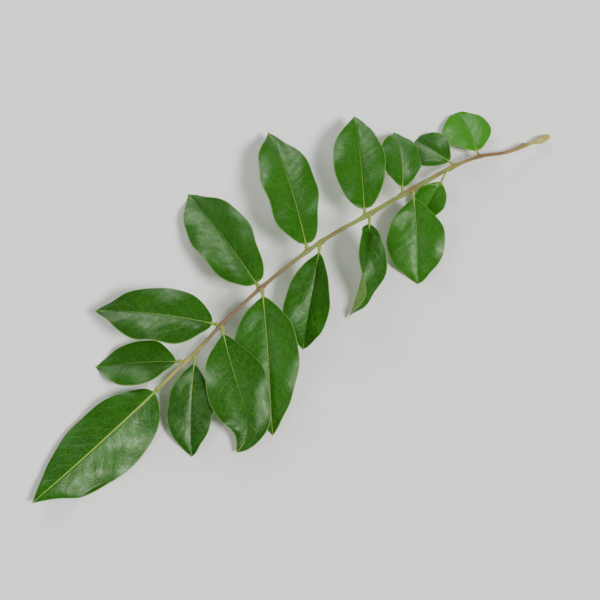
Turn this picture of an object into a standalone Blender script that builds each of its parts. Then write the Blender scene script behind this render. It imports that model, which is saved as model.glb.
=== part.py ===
"""A curry leaf sprig: one compound leaf as picked, lying on a flat surface.

A thin stem, the rachis, runs from its swollen plucked base (+X) towards the end leaflet (-X). It arches
over the surface and carries near-opposite leaflets, each a blade with its own short stalk, and one more
at its end. Every leaflet turns down about its stalk until it meets the surface, or a neighbour, and is
flat where it touches the surface. Metres, +Z up, origin on the surface under the middle of the sprig.
"""

from dataclasses import dataclass
from math import atan2, cos, exp, log, pi, radians, sin

import bmesh
import bpy
from mathutils import Matrix, Vector

MM = 0.001

# The rachis
BASE_AT = Vector((113.4, -14.8, 0.0)) * MM  # the middle of the plucked end, over the surface
ROUTE = (  # the stem's course from that end, in mm: along, across, and its height over the surface
    (0.0, 0.0, 1.15),
    (-16.5, 3.0, 3.9),
    (-26.2, 6.6, 6.2),
    (-37.5, 8.5, 8.8),
    (-57.0, 9.1, 12.6),
    (-75.0, 9.6, 15.2),
    (-95.0, 10.7, 16.8),
    (-118.0, 9.7, 16.8),
    (-138.0, 7.6, 15.2),
    (-152.5, 5.1, 13.4),
    (-170.5, 3.0, 10.6),
)
ROUTE_STEPS = 12  # straight steps between two of those points
RACHIS_STEP = 2.0 * MM  # between two rings of the tube
BASE_RADIUS = 0.85 * MM  # of the petiole, just past the swelling
END_RADIUS = 0.55 * MM  # under the end leaflet
SWELLING = 0.55 * MM  # how far the pulvinus stands out over the petiole
SWELLING_AT = 5.0 * MM  # its fattest place, from the plucked end
SWELLING_REACH = 6.0 * MM
NODE_SWELLING = 0.2 * MM
NODE_REACH = 1.6 * MM

# The leaflets
STALK_LENGTH = 2.5 * MM
STALK_WIDTH = 1.2 * MM
STALK_THICKNESS = 1.1 * MM
BLADE_THICKNESS = 0.4 * MM
JOINT_GAP = 0.3 * MM  # between a stalk and the rachis
TIP_WIDTH = 0.6 * MM  # of the blunt tip
STALK_ROWS = 2
BLADE_ROWS = 13
COLUMNS = 6
DRAWN_TIP = 0.10  # how much the outline is drawn in just short of the tip
DRAWN_AT = 0.88  # share of the blade from its base
DRAWN_REACH = 0.08
SKEW = 0.06  # the half towards the sprig's tip is this much wider, and the other narrower
RIPPLES = 2.2  # waves along an edge
RIPPLE_LEAD = 0.3  # of a wave, by which one edge is ahead of the midrib
PRESS = 0.6 * MM  # how far a resting leaflet flattens against the surface
STEEPEST = radians(75)  # a leaflet's chord never hangs steeper than this
SETTLING_STEPS = 30  # halvings of that angle in the search for the resting one

RIGHT, LEFT, END = 1, -1, 0  # sides of the rachis, seen from its base: right is +Y


@dataclass(frozen=True)
class Leaflet:
    """One leaflet. Lengths are in mm and angles in degrees."""

    name: str
    side: int
    at: float  # its node, along the rachis from the plucked end; the end one's is just past the stem
    length: float  # stalk and blade together
    width: float
    splay: float  # between its chord and the rachis ahead
    roll: float = 0.0  # lifts the edge that faces the sprig's tip
    fold: float = 10.0  # lifts both halves from the midrib
    curl: float = 22.0  # turns both edges down again
    bend: float = 20.0  # droop from stalk to tip; below 0 it levels out
    sweep: float = 6.0  # turn of the midrib towards the sprig's tip
    twist: float = 0.0  # turn about the midrib, from stalk to tip
    wave: float = 0.5  # height of the ripples along the edges
    lift: float = 0.0  # height at which it comes to rest, on its neighbours
    widest: float = 0.45  # share of the blade from its base
    taper: float = 0.66  # below 1 it rounds the outline's shoulders and tip


LEAFLETS = (
    Leaflet("left_1", LEFT, 41.0, 17.0, 11.5, 22, roll=8, fold=20, bend=14, wave=0.3),
    Leaflet("left_2", LEFT, 58.0, 32.0, 20.0, 57, roll=-4, bend=14, sweep=10, widest=0.5),
    Leaflet("left_3", LEFT, 76.5, 35.5, 17.0, 42, roll=54, fold=34, curl=6, twist=88, lift=1.2),
    Leaflet("left_4", LEFT, 97.5, 36.0, 17.0, 42, roll=-12, fold=20, curl=16, twist=30, widest=0.5),
    Leaflet("left_5", LEFT, 124.0, 49.5, 21.5, 52, roll=-6, wave=0.8, widest=0.42),
    Leaflet("left_6", LEFT, 143.0, 44.5, 20.5, 48, roll=6, fold=12, sweep=-14, wave=0.7, lift=3.2),
    Leaflet("left_7", LEFT, 156.5, 33.5, 15.5, 43, roll=-4, curl=18, bend=12, sweep=-8, widest=0.5),
    Leaflet("right_1", RIGHT, 28.5, 22.0, 16.5, 96, roll=4, curl=30, bend=12, widest=0.5, taper=0.52),
    Leaflet("right_2", RIGHT, 39.0, 20.5, 13.5, 82, roll=-8, curl=26, wave=0.3, widest=0.5, taper=0.54),
    Leaflet("right_3", RIGHT, 62.5, 30.5, 14.0, 122, roll=10, bend=30, sweep=12, lift=3.0),
    Leaflet("right_4", RIGHT, 79.0, 42.0, 17.5, 120, roll=-4, lift=9.0, taper=0.6),
    Leaflet("right_5", RIGHT, 103.5, 54.0, 18.5, 114, roll=6, bend=26, wave=0.9, lift=6.0),
    Leaflet("right_6", RIGHT, 125.0, 53.0, 20.0, 102, roll=-10, fold=14, bend=16, wave=0.7, taper=0.6),
    Leaflet("right_7", RIGHT, 143.5, 44.0, 21.0, 58, roll=6, sweep=4, wave=0.7, lift=7.0, widest=0.4),
    Leaflet("right_8", RIGHT, 161.0, 32.5, 17.5, 50, roll=8, curl=16, bend=8, sweep=4),
    Leaflet("terminal", END, 174.3, 57.0, 25.5, 1, fold=-16, curl=6, bend=-14, sweep=0, widest=0.4, taper=0.72),
)


class Route:
    """A smooth curve through the given points, measured by distance from its start."""

    def __init__(self, points):
        ends = [points[0] * 2 - points[1], *points, points[-1] * 2 - points[-2]]
        self.points = [points[0]]
        for before, start, end, after in zip(ends, ends[1:], ends[2:], ends[3:]):
            for step in range(1, ROUTE_STEPS + 1):
                self.points.append(between(before, start, end, after, step / ROUTE_STEPS))
        self.distances = [0.0]
        for start, end in zip(self.points, self.points[1:]):
            self.distances.append(self.distances[-1] + (end - start).length)
        self.length = self.distances[-1]

    def place(self, distance):
        """The point at this distance from the start, or straight on past the end, and the way it runs."""
        step = 1
        while step < len(self.points) - 1 and self.distances[step] < distance:
            step += 1
        start, end = self.points[step - 1], self.points[step]
        share = (distance - self.distances[step - 1]) / (self.distances[step] - self.distances[step - 1])
        return start.lerp(end, share), (end - start).normalized()


def between(before, start, end, after, share):
    """A point of the Catmull-Rom curve from start to end."""
    slope_start = (end - before) / 2
    slope_end = (after - start) / 2
    return (
        start * (2 * share**3 - 3 * share**2 + 1)
        + slope_start * (share**3 - 2 * share**2 + share)
        + end * (3 * share**2 - 2 * share**3)
        + slope_end * (share**3 - share**2)
    )


def bump(distance, middle, reach):
    """A smooth hump: 1 at its middle, and next to nothing past twice its reach."""
    return exp(-(((distance - middle) / reach) ** 2))


def rachis_radius(distance, length):
    """The stem's radius at this distance from the plucked end."""
    radius = BASE_RADIUS + (END_RADIUS - BASE_RADIUS) * distance / length
    radius += SWELLING * bump(distance, SWELLING_AT, SWELLING_REACH)
    nodes = (bump(distance, leaflet.at * MM, NODE_REACH) for leaflet in LEAFLETS if leaflet.side != END)
    return radius + NODE_SWELLING * max(nodes)


def half_width(leaflet, along):
    """Half the leaflet's width at this distance from the start of its stalk."""
    share = max(0.0, (along - STALK_LENGTH) / (leaflet.length * MM - STALK_LENGTH))
    outline = max(0.0, sin(pi * min(share, 1.0) ** (log(0.5) / log(leaflet.widest))))
    outline = outline**leaflet.taper * (1 - DRAWN_TIP * bump(share, DRAWN_AT, DRAWN_REACH))
    narrowest = STALK_WIDTH + (TIP_WIDTH - STALK_WIDTH) * share
    return max(outline * leaflet.width * MM, narrowest) / 2


def row_distances(leaflet):
    """How far along the leaflet its rows of vertices stand, close together at the blade's ends."""
    blade = leaflet.length * MM - STALK_LENGTH
    stalk_rows = [STALK_LENGTH * row / STALK_ROWS for row in range(STALK_ROWS)]
    shares = [(1 - cos(pi * row / BLADE_ROWS)) / 2 for row in range(BLADE_ROWS + 1)]
    return stalk_rows + [STALK_LENGTH + blade * share for share in shares]


def midrib_frames(leaflet):
    """The midrib's course from a level start along +X: a frame a row, X ahead, Y across, Z up off the blade."""
    length = leaflet.length * MM
    place = Vector()
    last = 0.0
    frames = []
    for along in row_distances(leaflet):
        for distance in ((last + along) / 2, along):
            share = distance / length - 0.5
            turn = Matrix.Rotation(radians(leaflet.side * leaflet.sweep) * share, 3, "Z")
            droop = Matrix.Rotation(radians(leaflet.bend) * share, 3, "Y")
            twist = Matrix.Rotation(radians(leaflet.side * leaflet.twist) * share, 3, "X")
            axes = turn @ droop @ twist
            if distance < along:
                place = place + axes.col[0] * (along - last)
        frames.append(Matrix.Translation(place) @ axes.to_4x4())
        last = along
    return frames


def blade_point(leaflet, frame, along, across):
    """A point of the underside. across runs from -1, at one edge, to 1 at the other."""
    half = half_width(leaflet, along)
    opened = min(1.0, (half * 2 - STALK_WIDTH) / (leaflet.width * MM / 2)) if along > STALK_LENGTH else 0.0
    opened = max(opened, 0.0)
    tipward = across * (leaflet.side or 1)
    reach = abs(across) * half * (1 + SKEW * opened * (1 if tipward > 0 else -1))
    fold = radians(leaflet.fold) * opened
    curl = radians(leaflet.curl) / (leaflet.width * MM / 2) * opened
    out = reach * cos(fold) + curl * reach**2 / 2 * sin(fold)
    up = reach * sin(fold) - curl * reach**2 / 2 * cos(fold)
    ripple = sin(2 * pi * (RIPPLES * along / (leaflet.length * MM) + RIPPLE_LEAD * across)) * across**2
    return frame @ Vector((0.0, out if across > 0 else -out, up + leaflet.wave * MM * ripple * opened))


def resting_matrix(leaflet, route, points):
    """Where the leaflet starts, and its turn about that start that brings its lowest point to rest."""
    node, ahead = route.place(leaflet.at * MM)
    splay = radians(leaflet.splay)
    offset = 0.0
    if leaflet.side != END:
        clear = rachis_radius(leaflet.at * MM, route.length) + JOINT_GAP
        offset = (clear + STALK_WIDTH / 2 * abs(cos(splay))) / sin(splay)
    heading = atan2(ahead.y, ahead.x) - (leaflet.side or 1) * splay
    start = node + Vector((cos(heading), sin(heading), 0.0)) * offset
    start.z -= STALK_THICKNESS / 2
    facing = Matrix.Translation(start) @ Matrix.Rotation(heading, 4, "Z")
    roll = Matrix.Rotation(radians(leaflet.roll) * (leaflet.side or 1), 4, "X")
    low, high = -STEEPEST, STEEPEST
    for _ in range(SETTLING_STEPS):
        pitch = (low + high) / 2
        turned = facing @ Matrix.Rotation(-pitch, 4, "Y") @ roll
        if min((turned @ point).z for point in points) < leaflet.lift * MM - PRESS:
            low = pitch
        else:
            high = pitch
    return turned


def make_material(name, colour, roughness):
    """A Principled material. colour is linear red, green and blue."""
    material = bpy.data.materials.new(name)
    material.use_nodes = True
    shader = material.node_tree.nodes["Principled BSDF"]
    shader.inputs["Base Color"].default_value = (*colour, 1.0)
    shader.inputs["Roughness"].default_value = roughness
    shader.inputs["Metallic"].default_value = 0.0
    material.diffuse_color = (*colour, 1.0)
    return material


def build_rachis(route, collection, material):
    """The stem: a tube along the route, fatter at its plucked base and at each node."""
    curve = bpy.data.curves.new("rachis", "CURVE")
    curve.dimensions = "3D"
    curve.bevel_depth = 1.0
    curve.bevel_resolution = 2
    curve.use_fill_caps = True
    spline = curve.splines.new("POLY")
    steps = round(route.length / RACHIS_STEP)
    spline.points.add(steps)
    for step, point in enumerate(spline.points):
        distance = route.length * step / steps
        point.co = (*route.place(distance)[0], 1.0)
        point.radius = rachis_radius(distance, route.length)
    curve.materials.append(material)
    rachis = bpy.data.objects.new("rachis", curve)
    collection.objects.link(rachis)
    return rachis


def build_leaflet(leaflet, route, collection, material):
    """One leaflet: a grid bent to the shape of its underside, with its thickness grown upwards from there."""
    rows = row_distances(leaflet)
    frames = midrib_frames(leaflet)
    name = f"leaflet_{leaflet.name}"
    mesh = bpy.data.meshes.new(name)
    grid = bmesh.new()
    bmesh.ops.create_grid(grid, x_segments=len(rows) - 1, y_segments=COLUMNS, size=1.0)
    stalk = []
    for vertex in grid.verts:
        row = round((vertex.co.x + 1) / 2 * (len(rows) - 1))
        if row <= STALK_ROWS:
            stalk.append(vertex.index)
        vertex.co = blade_point(leaflet, frames[row], rows[row], vertex.co.y)
    placed = resting_matrix(leaflet, route, [vertex.co for vertex in grid.verts])
    back = placed.inverted()
    for vertex in grid.verts:
        world = placed @ vertex.co
        if world.z < 0.0:
            vertex.co = back @ Vector((world.x, world.y, 0.0))
    grid.to_mesh(mesh)
    grid.free()
    mesh.materials.append(material)
    mesh.shade_smooth()
    blade = bpy.data.objects.new(name, mesh)
    collection.objects.link(blade)
    blade.vertex_groups.new(name="stalk").add(stalk, 1.0, "REPLACE")
    skin = blade.modifiers.new("thickness", "SOLIDIFY")
    skin.thickness = STALK_THICKNESS
    skin.offset = 1.0
    skin.vertex_group = "stalk"
    skin.thickness_vertex_group = BLADE_THICKNESS / STALK_THICKNESS
    blade.location = placed.to_translation()
    blade.rotation_euler = placed.to_euler()
    return blade


def main():
    """Builds the sprig into its own collection, under one empty."""
    for obj in list(bpy.data.objects):
        bpy.data.objects.remove(obj)
    collection = bpy.data.collections.new("curry_leaf_sprig")
    bpy.context.scene.collection.children.link(collection)
    stem_bark = make_material("rachis_skin", (0.36, 0.30, 0.09), 0.55)
    leaf_skin = make_material("leaf_skin", (0.035, 0.14, 0.012), 0.38)
    route = Route([BASE_AT + Vector(point) * MM for point in ROUTE])
    pieces = [build_rachis(route, collection, stem_bark)]
    for leaflet in LEAFLETS:
        pieces.append(build_leaflet(leaflet, route, collection, leaf_skin))
    sprig = bpy.data.objects.new("sprig", None)
    collection.objects.link(sprig)
    for piece in pieces:
        piece.parent = sprig


main()
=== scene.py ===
"""Curry leaf sprig: the looks of one picked compound leaf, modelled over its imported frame.

The rachis and each leaflet are made again at full detail in the place of their plain solids: stalks that grow
out of the stem, thin blades with a rib beneath, veins, wavy margins and a waxy skin. Sizes are in millimetres
and angles in degrees unless a comment says otherwise, and meshes are written in metres.
"""

import logging
import math
from dataclasses import dataclass
from enum import Enum

import bpy
import numpy as np
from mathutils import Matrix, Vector


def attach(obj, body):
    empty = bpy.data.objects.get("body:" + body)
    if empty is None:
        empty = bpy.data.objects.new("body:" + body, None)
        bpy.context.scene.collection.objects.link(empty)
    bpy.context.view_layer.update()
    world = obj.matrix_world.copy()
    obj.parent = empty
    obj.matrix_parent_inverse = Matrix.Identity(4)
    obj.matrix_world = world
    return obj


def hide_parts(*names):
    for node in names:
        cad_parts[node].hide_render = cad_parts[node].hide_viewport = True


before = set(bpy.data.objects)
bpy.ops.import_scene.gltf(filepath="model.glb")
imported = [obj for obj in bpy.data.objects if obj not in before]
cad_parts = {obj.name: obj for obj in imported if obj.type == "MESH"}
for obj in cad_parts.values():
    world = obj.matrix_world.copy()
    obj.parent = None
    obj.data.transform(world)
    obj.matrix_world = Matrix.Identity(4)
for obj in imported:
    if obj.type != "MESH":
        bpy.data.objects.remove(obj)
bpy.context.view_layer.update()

LOG = logging.getLogger("curry_leaf_sprig")
MM = 0.001  # one millimetre in metres

# The rachis's course, and how every leaflet is built. The frame's plain solids have the same values.
BASE_AT = (113.4, -14.8, 0.0)  # the middle of the plucked end, over the surface
COURSE = (  # from that end: along, across, and the height over the surface
    (0.0, 0.0, 1.15),
    (-16.5, 3.0, 3.9),
    (-26.2, 6.6, 6.2),
    (-37.5, 8.5, 8.8),
    (-57.0, 9.1, 12.6),
    (-75.0, 9.6, 15.2),
    (-95.0, 10.7, 16.8),
    (-118.0, 9.7, 16.8),
    (-138.0, 7.6, 15.2),
    (-152.5, 5.1, 13.4),
    (-170.5, 3.0, 10.6),
)
STEM_RADIUS = (0.85, 0.55)  # of the rachis, at its plucked end and at its tip
SWELL = 0.55  # how much thicker it is near its plucked end
SWELL_AT = (5.0, 6.0)  # where, and its reach
NODE_SWELL = 0.2  # how much thicker it is where a leaflet grows
NODE_REACH = 1.6
STALK_LENGTH = 2.5
STALK_WIDTH = 1.2
STALK_THICKNESS = 1.1
JOINT_GAP = 0.3  # between a plain stalk and the rachis
TIP_WIDTH = 0.6  # of a plain solid's blunt tip
STALK_ROWS = 2  # of a plain solid, whose lowest point sets how its leaflet rests
BLADE_ROWS = 13
COLUMNS = 6
DRAWN_TIP = 0.10  # how much the outline is drawn in just short of the tip
DRAWN_AT = 0.88  # where, as a share of the blade
DRAWN_REACH = 0.08
SKEW = 0.06  # the half towards the sprig's tip is this much wider, and the other narrower
RIPPLES = 2.2  # waves along an edge
RIPPLE_LEAD = 0.3  # of a wave, by which one edge is ahead of the midrib
PRESS = 0.6  # how far a resting leaflet flattens against the surface
STEEPEST = 75.0  # the most that a leaflet is tipped up or down to come to rest
SETTLING_STEPS = 30  # halvings of that angle in the search for the resting one

# What only the fine pieces have.
COURSE_STEPS = 48  # straight steps between two points of the course
BARE_STALK = 1.4  # length of the stalk before the blade starts
KEEL = 8.0  # degrees more of fold, and of curl after it, than in the plain solids
HOOK_FROM = 0.12  # where a hooked leaflet starts to turn, from its middle and as a share of its length
HOOK_BACK = 0.22  # share of that turn by which its inner half leans the other way
LAMINA = 0.28  # thickness of a fine blade
BLADE_HEIGHT = 0.2  # of its middle over the sheet that it follows
ROWS_APART = 0.45  # along a fine blade
FILLET = 0.10  # between midrib and blade
GROOVE_DEPTH = 0.10  # of the furrow over the midrib
GROOVE_REACH = 0.3
OPENS = (0.2, 1.6)  # the half widths between which a stalk opens into a blade
CLEARANCE = 0.02  # of a fine leaflet over the surface


def bump(distance: np.ndarray, middle: float, reach: float) -> np.ndarray:
    """A smooth hump: 1 at its middle, and next to nothing past twice its reach."""
    return np.exp(-(((distance - middle) / reach) ** 2))


def smooth(value: np.ndarray, start: float, end: float) -> np.ndarray:
    """Rises smoothly from 0 at start to 1 at end."""
    share = np.clip((value - start) / (end - start), 0.0, 1.0)
    return share * share * (3.0 - 2.0 * share)


def union(first: np.ndarray, second: np.ndarray, fillet: float) -> np.ndarray:
    """The higher of two heights, with a fillet where they cross."""
    return (first + second + np.sqrt((first - second) ** 2 + fillet**2)) / 2.0


def rotations(axis: int, angles: np.ndarray) -> np.ndarray:
    """Rotation matrices about one axis.

    Args:
        axis: 0 for X, 1 for Y, 2 for Z.
        angles: The angles, in radians.

    Returns:
        One 3 by 3 matrix an angle.
    """
    made = np.zeros((len(angles), 3, 3))
    first, second = (axis + 1) % 3, (axis + 2) % 3
    made[:, axis, axis] = 1.0
    made[:, first, first] = made[:, second, second] = np.cos(angles)
    made[:, second, first] = np.sin(angles)
    made[:, first, second] = -np.sin(angles)
    return made


class Side(Enum):
    """Where a leaflet grows on the rachis, seen from the plucked base. Right is +Y."""

    RIGHT = 1
    LEFT = -1
    END = 0


class Course:
    """A smooth curve through given points, measured by the distance from its start."""

    def __init__(self, points: np.ndarray, steps: int) -> None:
        """Runs the curve.

        Args:
            points: The points it passes through, one a row.
            steps: Straight steps between two of them.
        """
        ends = np.vstack([2 * points[0] - points[1], points, 2 * points[-1] - points[-2]])
        share = np.linspace(0.0, 1.0, steps, endpoint=False)[:, None]
        spans = []
        for before, start, end, after in zip(ends, ends[1:], ends[2:], ends[3:]):
            spans.append(
                start * (2 * share**3 - 3 * share**2 + 1)
                + (end - before) / 2 * (share**3 - 2 * share**2 + share)
                + end * (3 * share**2 - 2 * share**3)
                + (after - start) / 2 * (share**3 - share**2)
            )
        self.points = np.vstack([*spans, points[-1]])
        steps_long = np.linalg.norm(np.diff(self.points, axis=0), axis=1)
        self.distances = np.concatenate([[0.0], np.cumsum(steps_long)])
        self.length = float(self.distances[-1])

    def places(self, distances: np.ndarray) -> np.ndarray:
        """The curve's points, which run straight on past either end.

        Args:
            distances: Their distances from the start.

        Returns:
            One point a row.
        """
        inside = np.clip(distances, 0.0, self.length)
        places = np.stack([np.interp(inside, self.distances, axis) for axis in self.points.T], axis=-1)
        past = (np.asarray(distances) - inside)[..., None]
        ahead = np.where(past < 0.0, self.points[1] - self.points[0], self.points[-1] - self.points[-2])
        return places + past * ahead / np.linalg.norm(ahead, axis=-1, keepdims=True)

    def directions(self, distances: np.ndarray) -> np.ndarray:
        """The way the curve runs.

        Args:
            distances: Where, from the start.

        Returns:
            One unit vector a row.
        """
        reach = 0.5
        ahead = self.places(np.asarray(distances) + reach) - self.places(np.asarray(distances) - reach)
        return ahead / np.linalg.norm(ahead, axis=-1, keepdims=True)


def make_tube(
    name: str, coarse: int, fine: int, sides: int
) -> tuple[bpy.types.Object, np.ndarray, np.ndarray]:
    """A closed tube to be shaped: a cylinder whose wall is cut into rings, in two passes.

    Args:
        name: The object's name.
        coarse: Lengths that the first pass cuts.
        fine: Lengths that the second pass cuts each of those into.
        sides: Vertices round each ring.

    Returns:
        The object, and for each vertex its ring, from 0 at the start, and its side, from 0 on +X towards +Y.
    """
    level = 1e-6  # an edge whose ends differ less than this in height runs round the tube
    bpy.ops.object.select_all(action="DESELECT")
    bpy.ops.mesh.primitive_cylinder_add(vertices=sides, radius=1.0, depth=2.0)
    made = bpy.context.object
    made.name = made.data.name = name
    for pieces in (coarse, fine):
        edges = np.empty(len(made.data.edges) * 2, np.int32)
        made.data.edges.foreach_get("vertices", edges)
        heights = read_places(made)[edges.reshape(-1, 2), 2]
        bpy.ops.object.mode_set(mode="EDIT")
        bpy.ops.mesh.select_mode(type="EDGE")
        bpy.ops.mesh.select_all(action="DESELECT")
        bpy.ops.object.mode_set(mode="OBJECT")
        made.data.edges.foreach_set("select", np.abs(heights[:, 0] - heights[:, 1]) > level)
        bpy.ops.object.mode_set(mode="EDIT")
        bpy.ops.mesh.subdivide(number_cuts=pieces - 1)
        bpy.ops.object.mode_set(mode="OBJECT")
    places = read_places(made)
    ring = np.rint((places[:, 2] + 1.0) / 2.0 * coarse * fine).astype(int)
    turn = np.arctan2(places[:, 1], places[:, 0]) / (2.0 * np.pi)
    return made, ring, np.rint(turn * sides).astype(int) % sides


def read_places(piece: bpy.types.Object) -> np.ndarray:
    """The places of a mesh's vertices.

    Args:
        piece: The mesh's object.

    Returns:
        One place a row.
    """
    places = np.empty(len(piece.data.vertices) * 3, np.float32)
    piece.data.vertices.foreach_get("co", places)
    return places.reshape(-1, 3).astype(float)


def shape_piece(piece: bpy.types.Object, places: np.ndarray) -> None:
    """Moves a mesh's vertices, and shades it smooth.

    Args:
        piece: The mesh's object.
        places: Where each vertex goes, in millimetres.
    """
    piece.data.vertices.foreach_set("co", (places * MM).astype(np.float32).ravel())
    piece.data.update()
    bpy.ops.object.select_all(action="DESELECT")
    piece.select_set(True)
    bpy.context.view_layer.objects.active = piece
    bpy.ops.object.shade_smooth()


def write_marks(piece: bpy.types.Object, name: str, *values: np.ndarray) -> None:
    """Stores three values a vertex under one name, for the piece's material to read."""
    attribute = piece.data.attributes.new(name, "FLOAT_VECTOR", "POINT")
    attribute.data.foreach_set("vector", np.stack(values, axis=-1).astype(np.float32).ravel())


def linear(hex_colour: str) -> tuple[float, float, float, float]:
    """Turns a colour from sRGB to linear.

    Args:
        hex_colour: The sRGB colour, such as "#3a6b1f".

    Returns:
        Its linear red, green and blue, and an alpha of 1.
    """
    values = [int(hex_colour[start : start + 2], 16) / 255.0 for start in (1, 3, 5)]
    red, green, blue = [v / 12.92 if v <= 0.04045 else ((v + 0.055) / 1.055) ** 2.4 for v in values]
    return red, green, blue, 1.0


def add_node(
    tree: bpy.types.NodeTree, kind: str, inputs: dict | None = None, output: int | str = 0, **settings: object
) -> bpy.types.NodeSocket:
    """Adds a node to a material.

    Args:
        tree: The material's node tree.
        kind: The node's type.
        inputs: For an input's name or number, its value or the socket that feeds it.
        output: The name or number of the socket to return.
        settings: The node's own properties.

    Returns:
        The chosen output socket.
    """
    node = tree.nodes.new(kind)
    for name, value in settings.items():
        setattr(node, name, value)
    for key, value in (inputs or {}).items():
        if isinstance(value, bpy.types.NodeSocket):
            tree.links.new(value, node.inputs[key])
        else:
            node.inputs[key].default_value = value
    return node.outputs[output] if node.outputs else None


class Wiring:
    """The sums and mixes that the finishes share, on one material's tree."""

    def __init__(self, name: str) -> None:
        """Starts a material with one Principled shader.

        Args:
            name: The material's name.
        """
        self.material = bpy.data.materials.new(name)
        self.material.use_nodes = True
        self.tree = self.material.node_tree
        self.shader = self.tree.nodes["Principled BSDF"]

    def sum(self, operation: str, *values: float | bpy.types.NodeSocket) -> bpy.types.NodeSocket:
        """One step of arithmetic on numbers or sockets."""
        return add_node(self.tree, "ShaderNodeMath", dict(enumerate(values)), operation=operation)

    def ramp(
        self, value: bpy.types.NodeSocket, start: float, end: float, low: float = 0.0, high: float = 1.0
    ) -> bpy.types.NodeSocket:
        """A smooth change from low, where value is start, to high, where it is end."""
        inputs = {"Value": value, "From Min": start, "From Max": end, "To Min": low, "To Max": high}
        return add_node(self.tree, "ShaderNodeMapRange", inputs, interpolation_type="SMOOTHSTEP")

    def mix(
        self,
        share: float | bpy.types.NodeSocket,
        first: str | bpy.types.NodeSocket,
        second: str | bpy.types.NodeSocket,
    ) -> bpy.types.NodeSocket:
        """A colour between two.

        Args:
            share: The second one's share.
            first: A hex colour or a socket.
            second: The same.

        Returns:
            The mixed colour's socket.
        """
        first, second = [linear(c) if isinstance(c, str) else c for c in (first, second)]
        inputs = {0: share, 6: first, 7: second}
        return add_node(self.tree, "ShaderNodeMix", inputs, 2, data_type="RGBA")

    def marks(self, name: str) -> list[bpy.types.NodeSocket]:
        """The three values that a piece stores under this name."""
        vector = add_node(self.tree, "ShaderNodeAttribute", output="Vector", attribute_name=name)
        return [add_node(self.tree, "ShaderNodeSeparateXYZ", {0: vector}, axis) for axis in range(3)]

    def noise(
        self, size: float, detail: float, vector: bpy.types.NodeSocket, output: int | str = 0
    ) -> bpy.types.NodeSocket:
        """Soft noise, whose patches are about size across in the vector's unit."""
        inputs = {"Vector": vector, "Scale": 1.0 / size, "Detail": detail}
        return add_node(self.tree, "ShaderNodeTexNoise", inputs, output)

    def cells(self, size: float, vector: bpy.types.NodeSocket, line: float) -> bpy.types.NodeSocket:
        """A network of threads, with uneven meshes.

        Args:
            size: A mesh's size, in the vector's unit.
            vector: Where on the piece.
            line: Half a thread's width, as a share of a mesh's size.

        Returns:
            1 in the middle of a thread, fading to 0 at its sides.
        """
        inputs = {"Vector": vector, "Scale": 1.0 / size}
        gap = add_node(self.tree, "ShaderNodeTexVoronoi", inputs, "Distance", feature="DISTANCE_TO_EDGE")
        return self.ramp(gap, line, 0.0)

    def emboss(self, height: bpy.types.NodeSocket) -> None:
        """Raises the surface by a height in millimetres."""
        inputs = {"Height": height, "Distance": MM, "Strength": 1.0}
        self.tree.links.new(add_node(self.tree, "ShaderNodeBump", inputs), self.shader.inputs["Normal"])


@dataclass(frozen=True)
class BladePattern:
    """The marks and patterns of a blade that its colour, gloss and relief share, each a socket."""

    flat: bpy.types.NodeSocket  # the place on the blade
    bent: bpy.types.NodeSocket  # the same, astray, for threads that aren't straight
    top: bpy.types.NodeSocket  # 1 on the upper face, 0 beneath
    edge: bpy.types.NodeSocket  # the distance from the margin
    rib: bpy.types.NodeSocket  # the distance from the midrib, in its own radii
    tone: bpy.types.NodeSocket
    stalk: bpy.types.NodeSocket  # 1 on the bare stalk
    stalky: bpy.types.NodeSocket  # 1 on the stalk and the midrib
    lateral: bpy.types.NodeSocket  # 1 on the lateral veins
    network: bpy.types.NodeSocket  # 1 on the threads between them
    fine: bpy.types.NodeSocket  # 1 on the finest threads
    mottling: bpy.types.NodeSocket  # uneven all over


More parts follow.
